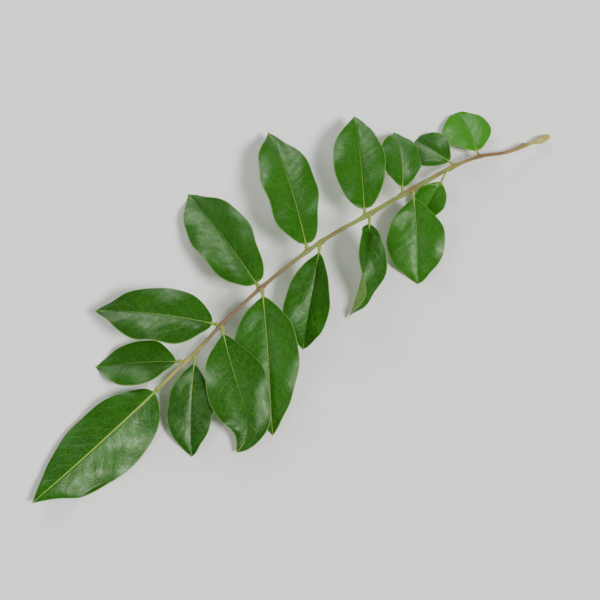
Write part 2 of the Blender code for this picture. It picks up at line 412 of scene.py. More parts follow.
@dataclass(frozen=True)
class LeafSkin:
    """Fresh curry leaf: a deep green blade with a thin waxy cuticle on top, matt and paler beneath.

    The wax gives a broad whitish sheen, broken up by the fine network of veins. The stalk, midrib and margin
    are pale yellow-green; the pale margin is partly a painted highlight along the blade's rounded edge.
    """

    deep: str = "#0b3802"
    fresh: str = "#3a8c0f"
    # sheen: the lighter green of the veins on top, which is partly their own paler colour and partly a
    # painted sheen
    sheen: str = "#487f20"
    # shade: a darker green for the random mottling, and also the painted shade beside the midrib
    shade: str = "#0a3203"
    under: str = "#6f9440"
    under_deep: str = "#4d7a26"
    rib: str = "#8fae49"
    stalk: str = "#93a046"
    # margin: the pale green of the margin, where it is partly a painted highlight along the rounded edge, and
    # of the finest veins beneath
    margin: str = "#7ea548"
    gland: str = "#6c9c3c"
    speck: str = "#3c2c10"
    wax: str = "#e8ffd8"
    layers: float = 40.0  # how deep the patterns go from tone 0 to tone 1, so that no two leaflets' are alike
    blotch: float = 8.0  # a patch of lighter or darker green
    mottle: float = 1.4
    vein_width: float = 0.20  # half a lateral vein, drawn a little broader than life so that it shows
    net: float = 1.9  # a mesh of the network between the laterals, about twice life size so that it shows
    fine_net: float = 0.55
    stray: float = 1.1  # how far the network's threads stray
    stray_size: float = 2.2  # over what length they do
    margin_from: float = 0.42  # how far from the edge the pale margin starts
    margin_full: float = 0.1  # and how far from it the margin is at its palest
    gland_apart: float = 0.8
    pores: float = 0.3
    speck_apart: float = 7.0  # between the few brown specks of handling and insects
    wax_patch: float = 2.5  # of thicker or thinner wax
    glossy: float = 0.30  # the roughness of thick wax
    dull: float = 0.44  # the roughness of thin wax
    underside_duller: float = 0.24
    stalk_duller: float = 0.1
    pore_height: float = 0.012
    vein_depth: float = 0.020  # the veins are sunk on top, and stand out beneath
    net_depth: float = 0.014
    fine_net_depth: float = 0.008

    def build(self) -> bpy.types.Material:
        """Wires the material, which reads the marks that Leaflet.mark stores.

        Returns:
            The material.
        """
        w = Wiring("curry_leaf_waxy_blade")
        pattern = self.pattern(w)
        skin = w.mix(pattern.top, self.lower_colour(w, pattern), self.upper_colour(w, pattern))
        # Painted highlight, in part: a pale margin all round the blade stands for both the margin's own paler
        # green and the highlight along its rounded edge.
        rim = w.ramp(pattern.edge, self.margin_from, self.margin_full)
        skin = w.mix(w.sum("MULTIPLY", rim, 0.55), skin, self.margin)
        ribs = w.mix(pattern.stalk, self.rib, self.stalk)
        skin = w.mix(w.sum("MULTIPLY", pattern.stalky, 0.85), skin, ribs)
        w.tree.links.new(skin, w.shader.inputs["Base Color"])
        w.tree.links.new(self.roughness(w, pattern), w.shader.inputs["Roughness"])
        w.shader.inputs["IOR"].default_value = 1.38
        w.shader.inputs["Specular Tint"].default_value = linear(self.wax)
        w.shader.inputs["Subsurface Weight"].default_value = 0.08
        w.shader.inputs["Subsurface Radius"].default_value = (0.35, 0.8, 0.12)
        w.shader.inputs["Subsurface Scale"].default_value = MM
        w.emboss(self.relief(w, pattern))
        return w.material

    def pattern(self, w: Wiring) -> BladePattern:
        """Works out what the blade's colour, gloss and relief share.

        Args:
            w: The material's wiring.

        Returns:
            The sockets of the marks and patterns.
        """
        x, y, phase = w.marks("leaf_map")
        top, edge, rib = w.marks("leaf_form")
        tone, stalk, spacing = w.marks("leaf_life")
        own_layer = w.sum("MULTIPLY", tone, self.layers)
        flat = add_node(w.tree, "ShaderNodeCombineXYZ", {0: x, 1: y, 2: own_layer})
        warp = w.noise(self.stray_size, 2.0, flat, "Color")
        strayed = {0: warp, 1: (self.stray, self.stray, 0.0), 2: flat}
        bent = add_node(w.tree, "ShaderNodeVectorMath", strayed, operation="MULTIPLY_ADD")
        network = w.sum("MULTIPLY", w.cells(self.net, bent, 0.16), w.ramp(edge, 0.4, 1.5))
        return BladePattern(
            flat=flat,
            bent=bent,
            top=top,
            edge=edge,
            rib=rib,
            tone=tone,
            stalk=stalk,
            stalky=w.sum("MAXIMUM", w.ramp(rib, 1.3, 0.7), stalk),
            lateral=self.laterals(w, y, phase, spacing, edge),
            network=network,
            fine=w.cells(self.fine_net, bent, 0.22),
            mottling=w.noise(self.mottle, 4.0, flat),
        )

    def laterals(
        self,
        w: Wiring,
        y: bpy.types.NodeSocket,
        phase: bpy.types.NodeSocket,
        spacing: bpy.types.NodeSocket,
        edge: bpy.types.NodeSocket,
    ) -> bpy.types.NodeSocket:
        """The lateral veins.

        Args:
            w: The material's wiring.
            y: The distance from the midrib, positive on one half.
            phase: The count of veins, as Leaflet.vein_phase gives it.
            spacing: The distance between two veins.
            edge: The distance from the margin.

        Returns:
            1 along each vein, fading to 0 at its sides and before it reaches the margin.
        """
        shifted = w.sum("ADD", phase, w.sum("MULTIPLY", w.sum("GREATER_THAN", y, 0.0), 0.5))
        off_vein = w.sum("ABSOLUTE", w.sum("SUBTRACT", w.sum("FRACT", shifted), 0.5))
        from_vein = w.sum("MULTIPLY", w.sum("SUBTRACT", 0.5, off_vein), spacing)
        line = w.ramp(from_vein, self.vein_width * 1.6, 0.0)
        return w.sum("MULTIPLY", line, w.ramp(edge, 1.0, 4.0, 0.1, 1.0))

    def upper_colour(self, w: Wiring, pattern: BladePattern) -> bpy.types.NodeSocket:
        """The deep green of the upper face, with patches, veins, oil glands, specks, and painted shade and
        sheen.

        Args:
            w: The material's wiring.
            pattern: The blade's marks and patterns.

        Returns:
            The colour's socket.
        """
        blotches = w.ramp(w.noise(self.blotch, 3.0, pattern.flat), 0.36, 0.66)
        inputs = {"Vector": pattern.flat, "Scale": 1.0 / self.gland_apart}
        glands = w.ramp(add_node(w.tree, "ShaderNodeTexVoronoi", inputs), 0.16, 0.08)
        inputs = {"Vector": pattern.bent, "Scale": 1.0 / self.speck_apart}
        specks = w.ramp(add_node(w.tree, "ShaderNodeTexVoronoi", inputs), 0.05, 0.02)
        green = w.mix(pattern.tone, self.deep, self.fresh)
        green = w.mix(w.sum("MULTIPLY", blotches, 0.12), green, self.fresh)
        green = w.mix(w.ramp(pattern.mottling, 0.38, 0.72, 0.0, 0.22), green, self.shade)
        # Painted shade: the blade is darkened beside the midrib, as if in the shade of the crease along it.
        green = w.mix(w.ramp(pattern.rib, 4.0, 1.2, 0.0, 0.18), green, self.shade)
        # The veins and the network between them are drawn lighter: partly their own paler green, partly a
        # painted sheen standing in for the glints of light along them.
        green = w.mix(w.sum("MULTIPLY", pattern.fine, 0.12), green, self.sheen)
        green = w.mix(w.sum("MULTIPLY", pattern.network, 0.2), green, self.sheen)
        green = w.mix(w.sum("MULTIPLY", pattern.lateral, 0.3), green, self.sheen)
        green = w.mix(w.sum("MULTIPLY", glands, 0.22), green, self.gland)
        return w.mix(w.sum("MULTIPLY", specks, 0.6), green, self.speck)

    def lower_colour(self, w: Wiring, pattern: BladePattern) -> bpy.types.NodeSocket:
        """The paler green of the lower face, on which the veins are paler still.

        Args:
            w: The material's wiring.
            pattern: The blade's marks and patterns.

        Returns:
            The colour's socket.
        """
        pale = w.mix(w.ramp(pattern.mottling, 0.3, 0.7, 0.0, 0.5), self.under, self.under_deep)
        pale = w.mix(w.sum("MULTIPLY", pattern.fine, 0.2), pale, self.margin)
        pale = w.mix(w.sum("MULTIPLY", pattern.network, 0.35), pale, self.rib)
        return w.mix(w.sum("MULTIPLY", pattern.lateral, 0.6), pale, self.rib)

    def roughness(self, w: Wiring, pattern: BladePattern) -> bpy.types.NodeSocket:
        """The gloss of the wax, which is patchy on top and thin beneath and on the stalk.

        Args:
            w: The material's wiring.
            pattern: The blade's marks and patterns.

        Returns:
            The roughness's socket.
        """
        waxy = w.ramp(w.noise(self.wax_patch, 3.0, pattern.flat), 0.3, 0.7, self.glossy, self.dull)
        beneath = w.sum("SUBTRACT", 1.0, pattern.top)
        rough = w.sum("ADD", waxy, w.sum("MULTIPLY", beneath, self.underside_duller))
        return w.sum("ADD", rough, w.sum("MULTIPLY", pattern.stalky, self.stalk_duller))

    def relief(self, w: Wiring, pattern: BladePattern) -> bpy.types.NodeSocket:
        """The fine relief of pores and veins.

        Args:
            w: The material's wiring.
            pattern: The blade's marks and patterns.

        Returns:
            Its height in millimetres.
        """
        grain = w.noise(self.pores, 1.0, pattern.flat)
        raised = w.sum("MULTIPLY", grain, self.pore_height)
        raised = w.sum("SUBTRACT", raised, w.sum("MULTIPLY", pattern.lateral, self.vein_depth))
        raised = w.sum("SUBTRACT", raised, w.sum("MULTIPLY", pattern.network, self.net_depth))
        raised = w.sum("SUBTRACT", raised, w.sum("MULTIPLY", pattern.fine, self.fine_net_depth))
        facing = w.sum("SUBTRACT", w.sum("MULTIPLY", pattern.top, 2.0), 1.0)
        return w.sum("MULTIPLY", raised, facing)


@dataclass(frozen=True)
class GreenBark:
    """The rachis's thin young bark: yellow-green to tan with browner stretches, satin and finely ridged.

    Each change along the stem goes from its first to its second distance from the plucked end.
    """

    base: str = "#afa351"
    tan: str = "#8f8140"
    green: str = "#6f8a30"
    brown: str = "#6a4a2a"
    ruddy: str = "#6e4632"
    cut: str = "#b09a60"
    pith: str = "#cfc088"
    to_tan: tuple[float, float] = (5.0, 11.0)
    to_green: tuple[float, float] = (16.0, 60.0)
    to_bare: tuple[float, float] = (13.0, 20.0)  # the browner stretch without leaflets
    from_bare: tuple[float, float] = (26.0, 46.0)
    to_ruddy: tuple[float, float] = (96.0, 122.0)
    from_ruddy: tuple[float, float] = (146.0, 160.0)
    patch: float = 16.0  # of browner bark
    ridges: float = 0.35
    grime: float = 1.2
    lenticel: float = 1.5  # between two of the pale pores

    def build(self) -> bpy.types.Material:
        """Wires the material, which reads the marks that Rachis.model stores.

        Returns:
            The material.
        """
        w = Wiring("curry_rachis_green_bark")
        along, aside, above = w.marks("bark_map")
        cut, reach, node = w.marks("bark_form")
        drawn_out = w.sum("MULTIPLY", along, 0.12)
        lengthways = add_node(w.tree, "ShaderNodeCombineXYZ", {0: drawn_out, 1: aside, 2: above})
        round_it = add_node(w.tree, "ShaderNodeCombineXYZ", {0: along, 1: aside, 2: above})
        streaks = w.noise(self.ridges, 3.0, lengthways)
        patches = w.ramp(w.noise(self.patch, 2.0, round_it), 0.44, 0.6)
        grime = w.noise(self.grime, 4.0, round_it)
        colour = w.mix(w.ramp(along, *self.to_tan), self.base, self.tan)
        colour = w.mix(w.ramp(along, *self.to_green, 0.0, 0.8), colour, self.green)
        bare = w.sum("MULTIPLY", w.ramp(along, *self.to_bare), w.ramp(along, *self.from_bare, 1.0, 0.0))
        colour = w.mix(w.sum("MULTIPLY", bare, 0.45), colour, self.brown)
        ruddy = w.sum("MULTIPLY", w.ramp(along, *self.to_ruddy), w.ramp(along, *self.from_ruddy, 1.0, 0.0))
        colour = w.mix(w.sum("MULTIPLY", ruddy, 0.75), colour, self.ruddy)
        colour = w.mix(w.ramp(along, *self.from_ruddy, 0.0, 0.6), colour, self.base)
        browner = w.sum("MULTIPLY", patches, w.ramp(above, -0.4, 0.9, 0.35, 0.7))
        colour = w.mix(browner, colour, self.brown)
        colour = w.mix(w.ramp(streaks, 0.4, 0.75, 0.0, 0.4), colour, self.brown)
        colour = w.mix(w.ramp(grime, 0.5, 0.75, 0.0, 0.35), colour, self.brown)
        colour = w.mix(w.sum("MULTIPLY", node, 0.4), colour, self.brown)
        inputs = {"Vector": round_it, "Scale": 1.0 / self.lenticel}
        lenticels = w.ramp(add_node(w.tree, "ShaderNodeTexVoronoi", inputs), 0.15, 0.06)
        colour = w.mix(w.sum("MULTIPLY", lenticels, 0.5), colour, self.cut)
        face = w.mix(w.ramp(reach, 0.3, 0.55), self.pith, self.cut)
        face = w.mix(w.ramp(reach, 0.7, 0.95), face, self.brown)
        face = w.mix(w.ramp(grime, 0.4, 0.7, 0.0, 0.6), face, self.brown)
        colour = w.mix(cut, colour, face)
        w.tree.links.new(colour, w.shader.inputs["Base Color"])
        w.tree.links.new(w.ramp(streaks, 0.3, 0.7, 0.42, 0.62), w.shader.inputs["Roughness"])
        raised = w.sum("MULTIPLY_ADD", streaks, 0.05, w.sum("MULTIPLY", lenticels, 0.05))
        w.emboss(w.sum("MULTIPLY_ADD", grime, 0.04, raised))
        return w.material


@dataclass(frozen=True)
class Stance:
    """How a leaflet at rest stands on the rachis."""

    start: np.ndarray  # where its stalk starts
    turned: np.ndarray  # its turn about that start, as a 3 by 3 matrix
    sunk: float  # how far back its stalk goes on into the rachis
    axis_height: float  # the height there of the rachis's axis


@dataclass(frozen=True)
class Leaflet:
    """One leaflet: a short stalk and a blade with its midrib, grown as one piece."""

    name: str
    side: Side
    at: float  # its node, along the rachis from the plucked end
    length: float  # stalk and blade together
    width: float
    splay: float  # between its chord and the rachis ahead
    roll: float = 0.0  # lifts the edge that faces the sprig's tip
    fold: float = 10.0  # lifts both halves from the midrib
    curl: float = 22.0  # turns both edges down again
    bend: float = 20.0  # droop from stalk to tip; below 0 it levels out
    sweep: float = 6.0  # turn of the midrib towards the sprig's tip
    twist: float = 0.0  # turn about the midrib, from stalk to tip
    wave: float = 0.5  # height of the ripples along the edges
    lift: float = 0.0  # height at which it comes to rest, on its neighbours
    widest: float = 0.45  # share of the blade from its base
    taper: float = 0.66  # below 1 it rounds the outline's shoulders and tip
    tone: float = 0.5  # from 0, deep old green, to 1, fresh green; on left_7 the low tone is partly painted shade
    wedge: float = 0.15  # how far the blade's base narrows into its stalk; below 0 it is blunter
    hook: float = 0.0  # sideways turn of its outer half towards the sprig's tip
    uneven: float = 0.05  # how far the edges stray in and out, as a share of the half width
    point: float = 0.25  # how far the tip narrows; 0 leaves it round

    @property
    def hand(self) -> int:
        """1 on the right and for the end leaflet, -1 on the left."""
        return self.side.value or 1

    @property
    def seed(self) -> float:
        """A number of this leaflet's own, for waves that no two leaflets share."""
        return self.at * 1.7 + self.width * 0.9 + self.hand

    def outline(self, along: np.ndarray, fine: bool = True) -> np.ndarray:
        """Half the blade's width, without the midrib.

        Args:
            along: The distances from the start of the stalk.
            fine: Whether its base and tip are drawn out, or blunt as in the plain solid.

        Returns:
            One half width a distance.
        """
        start = BARE_STALK if fine else STALK_LENGTH
        share = np.clip((along - start) / (self.length - start), 0.0, 1.0)
        swell = np.maximum(0.0, np.sin(np.pi * share ** (math.log(0.5) / math.log(self.widest))))
        pointed = 0.0
        if fine:
            pointed = self.wedge * (1.0 - smooth(share, 0.0, self.widest))
            pointed = pointed + self.point * smooth(share, 0.75, 1.0)
        drawn = 1.0 - DRAWN_TIP * bump(share, DRAWN_AT, DRAWN_REACH)
        return swell ** (self.taper + pointed) * drawn * self.width / 2.0

    def rib_radius(self, along: np.ndarray) -> np.ndarray:
        """The radius of the stalk, which flares into the rachis, and of the midrib that it runs out into.

        Args:
            along: The distances from the start of the stalk.

        Returns:
            One radius a distance.
        """
        heft = math.sqrt(self.length / 50.0)
        share = np.clip((along - STALK_LENGTH) / (self.length - STALK_LENGTH), 0.0, 1.0)
        return heft * (0.10 + 0.38 * (1.0 - share) ** 1.2 + 0.30 * bump(along, -0.2, 0.8))

    def axes(self, along: np.ndarray) -> np.ndarray:
        """The midrib's own axes.

        Args:
            along: The distances from the start of the stalk.

        Returns:
            A 3 by 3 matrix a distance, with X ahead, Y across and Z up from the blade as its columns.
        """
        share = along / self.length - 0.5
        hooked = self.hand * self.hook * (smooth(share, HOOK_FROM, 0.5) - HOOK_BACK)
        turn = np.radians(self.side.value * self.sweep * share + hooked)
        droop = np.radians(self.bend * share)
        twist = np.radians(self.side.value * self.twist * share)
        return rotations(2, turn) @ rotations(1, droop) @ rotations(0, twist)

    def midrib(self, along: np.ndarray) -> np.ndarray:
        """The midrib's course from a level start along +X.

        Args:
            along: The distances from the start of the stalk, 0 among them.

        Returns:
            One place a distance.
        """
        ahead = self.axes((along[1:] + along[:-1]) / 2.0)[:, :, 0]
        places = np.vstack([np.zeros(3), np.cumsum(ahead * np.diff(along)[:, None], axis=0)])
        return places - places[np.argmin(np.abs(along))]

    def sheet(self, along: np.ndarray, across: np.ndarray, fine: bool) -> np.ndarray:
        """The blade's surface in the leaflet's own frame.

        Args:
            along: The distances of its rows from the start of the stalk.
            across: The places of its columns, from -1 at one edge to 1 at the other.
            fine: Whether it has its veins' relief and rounded ends, or the plain solid's shape.

        Returns:
            One point a row and column.
        """
        outline = self.outline(along, fine)[:, None]
        if fine:
            half = np.hypot(outline, self.rib_radius(along)[:, None])
            opened = smooth((2 * outline - STALK_WIDTH) / (self.width / 2.0), 0.0, 1.0)
        else:
            share = np.clip((along - STALK_LENGTH) / (self.length - STALK_LENGTH), 0.0, 1.0)[:, None]
            half = np.maximum(outline, (STALK_WIDTH + (TIP_WIDTH - STALK_WIDTH) * share) / 2.0)
            opened = np.clip((2 * half - STALK_WIDTH) / (self.width / 2.0), 0.0, 1.0)
        opened = opened * (along > (BARE_STALK if fine else STALK_LENGTH))[:, None]
        skewed = SKEW * np.sign(across * self.hand)
        if fine:
            skewed = skewed + self.uneven * self.wander(along[:, None], np.sign(across))
        reach = np.abs(across) * half * (1.0 + skewed * opened)
        keel = KEEL if fine and self.fold > 0.0 else 0.0
        fold = np.radians(self.fold + keel) * opened
        curl = np.radians(self.curl + keel) / (self.width / 2.0) * opened
        out = reach * np.cos(fold) + curl * reach**2 / 2.0 * np.sin(fold)
        up = reach * np.sin(fold) - curl * reach**2 / 2.0 * np.cos(fold)
        waves = RIPPLES * along[:, None] / self.length + RIPPLE_LEAD * across
        ripple = np.sin(2.0 * np.pi * waves) * across**2
        up = up + self.wave * ripple * opened
        if fine:
            up = up + self.relief(along[:, None], np.sign(across) * reach, across) * opened
        local = np.stack([np.zeros_like(out), np.sign(across) * out, up], axis=-1)
        turned = np.einsum("rij,rcj->rci", self.axes(along), local)
        return self.midrib(along)[:, None, :] + turned

    def wander(self, along: np.ndarray, half: np.ndarray) -> np.ndarray:
        """How the edges stray from a smooth outline.

        Args:
            along: The distances from the start of the stalk.
            half: -1 on one half of the blade and 1 on the other.

        Returns:
            From -1, straying in, to 1, straying out.
        """
        turns = 2.0 * np.pi * along / self.length
        own = self.seed + 2.1 * half
        return 0.65 * np.sin(1.3 * turns + own) + 0.35 * np.sin(3.1 * turns + 2.3 * own)

    @property
    def vein_spacing(self) -> float:
        """Between two lateral veins, along the midrib."""
        return 2.6 + 0.045 * self.length

    def vein_phase(self, along: np.ndarray, aside: np.ndarray) -> np.ndarray:
        """Counts the lateral veins up to a place.

        Args:
            along: Its distance from the start of the stalk.
            aside: Its distance from the midrib.

        Returns:
            The count: whole on each vein of one half, and midway between two of them on those of the other.
        """
        reach = np.abs(aside)
        ahead = 0.75 * reach + 0.6 * reach**2 / self.width
        uneven = 0.25 * np.sin(along / 4.3 + self.seed) + 0.12 * np.sin(along / 2.1 + reach / 2.7 + self.seed)
        return (along - STALK_LENGTH - ahead) / self.vein_spacing + uneven

    def relief(self, along: np.ndarray, aside: np.ndarray, across: np.ndarray) -> np.ndarray:
        """How far the blade swells between its veins and in its broad, uneven waves.

        Args:
            along: The distances of its rows from the start of the stalk.
            aside: Each point's distance from the midrib.
            across: The places of its columns, from -1 at one edge to 1 at the other.

        Returns:
            One height a point.
        """
        phase = self.vein_phase(along, aside) + 0.5 * (aside > 0)
        pads = 0.04 * np.sin(np.pi * phase) ** 2 * smooth(np.abs(aside), 0.3, 2.0) * (1.0 - across**4)
        # Two broad waves, of which the second grows towards the margin, and two small ones.
        broad = 0.22 * np.sin(along / 5.3 + aside / 4.1 + self.seed)
        broad = broad + 0.24 * np.sin(along / 3.4 - aside / 5.7 + 2.3 * self.seed) * np.abs(across)
        broad = broad + 0.035 * np.sin(along / 1.5 + aside / 1.9 + 3.1 * self.seed)
        broad = broad + 0.04 * np.sin(along / 2.1 - aside / 1.2 + 4.7 * self.seed)
        return pads + broad * smooth(np.abs(across), 0.05, 0.5)

    def stand(self, course: Course) -> Stance:
        """Finds where the leaflet starts, and its tip up or down that brings its lowest point to rest.

        Args:
            course: The rachis's course.

        Returns:
            How it stands on the rachis.
        """
        here = np.array([self.at])
        node, ahead = course.places(here)[0], course.directions(here)[0]
        splay = math.radians(self.splay)
        offset, sunk = 0.0, 1.3
        # A side leaflet starts beside the rachis, and its root ends half a radius away from the axis.
        if self.side is not Side.END:
            radius = float(Rachis.radius(here, course.length)[0])
            offset = (radius + JOINT_GAP + STALK_WIDTH / 2.0 * abs(math.cos(splay))) / math.sin(splay)
            sunk = offset - radius / 2.0 / math.sin(splay)
        heading = math.atan2(ahead[1], ahead[0]) - self.hand * splay
        start = node + np.array([math.cos(heading), math.sin(heading), 0.0]) * offset
        start[2] -= STALK_THICKNESS / 2.0
        stalk_rows = STALK_LENGTH * np.arange(STALK_ROWS) / STALK_ROWS
        shares = (1.0 - np.cos(np.pi * np.arange(BLADE_ROWS + 1) / BLADE_ROWS)) / 2.0
        along = np.concatenate([stalk_rows, STALK_LENGTH + (self.length - STALK_LENGTH) * shares])
        points = self.sheet(along, np.linspace(-1.0, 1.0, COLUMNS + 1), fine=False).reshape(-1, 3)
        facing = rotations(2, np.array([heading]))[0]
        roll = rotations(0, np.radians([self.roll * self.hand]))[0]
        low, high = -STEEPEST, STEEPEST
        for _ in range(SETTLING_STEPS):
            pitch = (low + high) / 2.0
            turned = facing @ rotations(1, np.radians([-pitch]))[0] @ roll
            if (start + points @ turned.T)[:, 2].min() < self.lift - PRESS:
                low = pitch
            else:
                high = pitch
        root = course.places(here + (offset - sunk) * math.cos(splay))[0]
        return Stance(start, turned, sunk, root[2])

    def model(self, course: Course) -> bpy.types.Object:
        """Models the leaflet at rest, and marks its vertices for the skin.

        Args:
            course: The rachis's course.

        Returns:
            The leaflet's object.
        """
        coarse, stalk_share = 12, 0.12
        sides = 128 if self.width > 15.0 else 96
        stance = self.stand(course)
        fine = max(3, round(self.length / ROWS_APART / coarse))
        piece, ring, turn = make_tube(f"curry_leaflet_{self.name}", coarse, fine, sides)
        stalk_rows = round(coarse * fine * stalk_share)
        # Rows lie closer at both ends of the blade, and columns at the midrib and the margin.
        share = np.linspace(0.0, 1.0, coarse * fine - stalk_rows + 1)
        share = 0.4 * share + 0.6 * (1.0 - np.cos(np.pi * share)) / 2.0
        stalk = np.linspace(-stance.sunk, STALK_LENGTH, stalk_rows, endpoint=False)
        stalk[np.argmin(np.abs(stalk))] = 0.0
        along = np.concatenate([stalk, STALK_LENGTH + (self.length - STALK_LENGTH) * share])
        across = np.linspace(-1.0, 1.0, sides // 2 + 1)
        across = np.sign(across) * (0.35 * np.abs(across) + 0.65 * smooth(np.abs(across), 0.0, 1.0))

        half = np.hypot(self.outline(along), self.rib_radius(along))[:, None]
        aside = half * across
        top, bottom = self.faces(along, aside, half)
        surface = stance.start + self.sheet(along, across, fine=True) @ stance.turned.T
        # The stalk's hidden root bends to the middle of the rachis.
        to_axis = stance.axis_height - surface[0, sides // 4, 2]
        surface[..., 2] += smooth(-along, 0.0, stance.sunk)[:, None] * to_axis
        surface[..., 2] = np.maximum(surface[..., 2], CLEARANCE - np.minimum(bottom, 0.0))
        normal = np.cross(np.gradient(surface, axis=0), np.gradient(surface, axis=1))
        normal /= np.linalg.norm(normal, axis=-1, keepdims=True)

        pick = (ring, np.abs(sides // 2 - turn))
        above = (turn > 0) & (turn < sides // 2)
        below = turn > sides // 2
        middle = (top + bottom) / 2.0
        height = np.where(above, top[pick], np.where(below, bottom[pick], middle[pick]))
        places = surface[pick] + normal[pick] * height[:, None]
        places[:, 2] = np.maximum(places[:, 2], 0.0)
        shape_piece(piece, places)
        facing_up = np.where(above, 1.0, np.where(below, 0.0, 0.5))
        self.mark(piece, along[ring], aside[pick], half[ring, 0], facing_up)
        return piece

    def faces(self, along: np.ndarray, aside: np.ndarray, half: np.ndarray) -> tuple[np.ndarray, np.ndarray]:
        """The leaflet's upper and lower faces.

        The blade is thin with a rounded margin. The stalk runs out into the midrib, which stands out beneath
        the blade and lies in a groove on top.

        Args:
            along: The distances of its rows from the start of the stalk.
            aside: Each point's distance from the midrib, negative on one half.
            half: The half width of each row.

        Returns:
            The heights of the upper and of the lower face over the sheet that the leaflet follows.
        """
        outline, radius = self.outline(along)[:, None], self.rib_radius(along)[:, None]
        blade = smooth(outline, *OPENS)
        share = np.clip((along - STALK_LENGTH) / (self.length - STALK_LENGTH), 0.0, 1.0)[:, None]
        settled = smooth(along, -0.5, STALK_LENGTH)[:, None]
        rib_centre = (1.0 - settled) * STALK_THICKNESS / 2.0 + settled * (BLADE_HEIGHT - 0.55 * radius)
        blade_centre = rib_centre * (1.0 - blade) + BLADE_HEIGHT * blade
        rim = np.clip((half - np.abs(aside)) / (LAMINA / 2.0), 0.0, 1.0)
        body = LAMINA / 2.0 * np.sqrt(1.0 - (1.0 - rim) ** 2) * blade
        bow = radius * np.sqrt(np.clip(1.0 - (aside / radius) ** 2, 0.0, 1.0))
        # Past its own radius the midrib's surface falls away steeply, so that only the blade's is left.
        beyond = np.maximum(np.abs(aside) - radius, 0.0) * 8.0
        top = union(blade_centre + body, rib_centre + bow - beyond, FILLET)
        bottom = -union(-(blade_centre - body), -(rib_centre - bow + beyond), FILLET)
        groove = GROOVE_DEPTH * bump(aside, 0.0, GROOVE_REACH)
        groove = groove * smooth(share, 0.04, 0.2) * (1.0 - smooth(share, 0.85, 1.0))
        return top - groove, bottom

    def mark(
        self,
        piece: bpy.types.Object,
        along: np.ndarray,
        aside: np.ndarray,
        half: np.ndarray,
        facing_up: np.ndarray,
    ) -> None:
        """Stores on each vertex what the leaf's skin reads.

        Args:
            piece: The leaflet's object.
            along: Each vertex's distance from the start of the stalk.
            aside: Its distance from the midrib, negative on one half.
            half: The blade's half width there.
            facing_up: 1 on the upper face, 0 on the lower one.
        """
        edge = np.minimum(half - np.abs(aside), self.length - along + 0.1)
        from_rib = np.abs(aside) / (0.04 + 0.46 * self.rib_radius(along))
        bare = 1.0 - smooth(along, BARE_STALK - 0.4, BARE_STALK + 0.8)
        constant = np.ones(len(along))
        write_marks(piece, "leaf_map", along, aside, self.vein_phase(along, aside))
        write_marks(piece, "leaf_form", facing_up, edge, np.minimum(from_rib, 4.0))
        write_marks(piece, "leaf_life", constant * self.tone, bare, constant * self.vein_spacing)


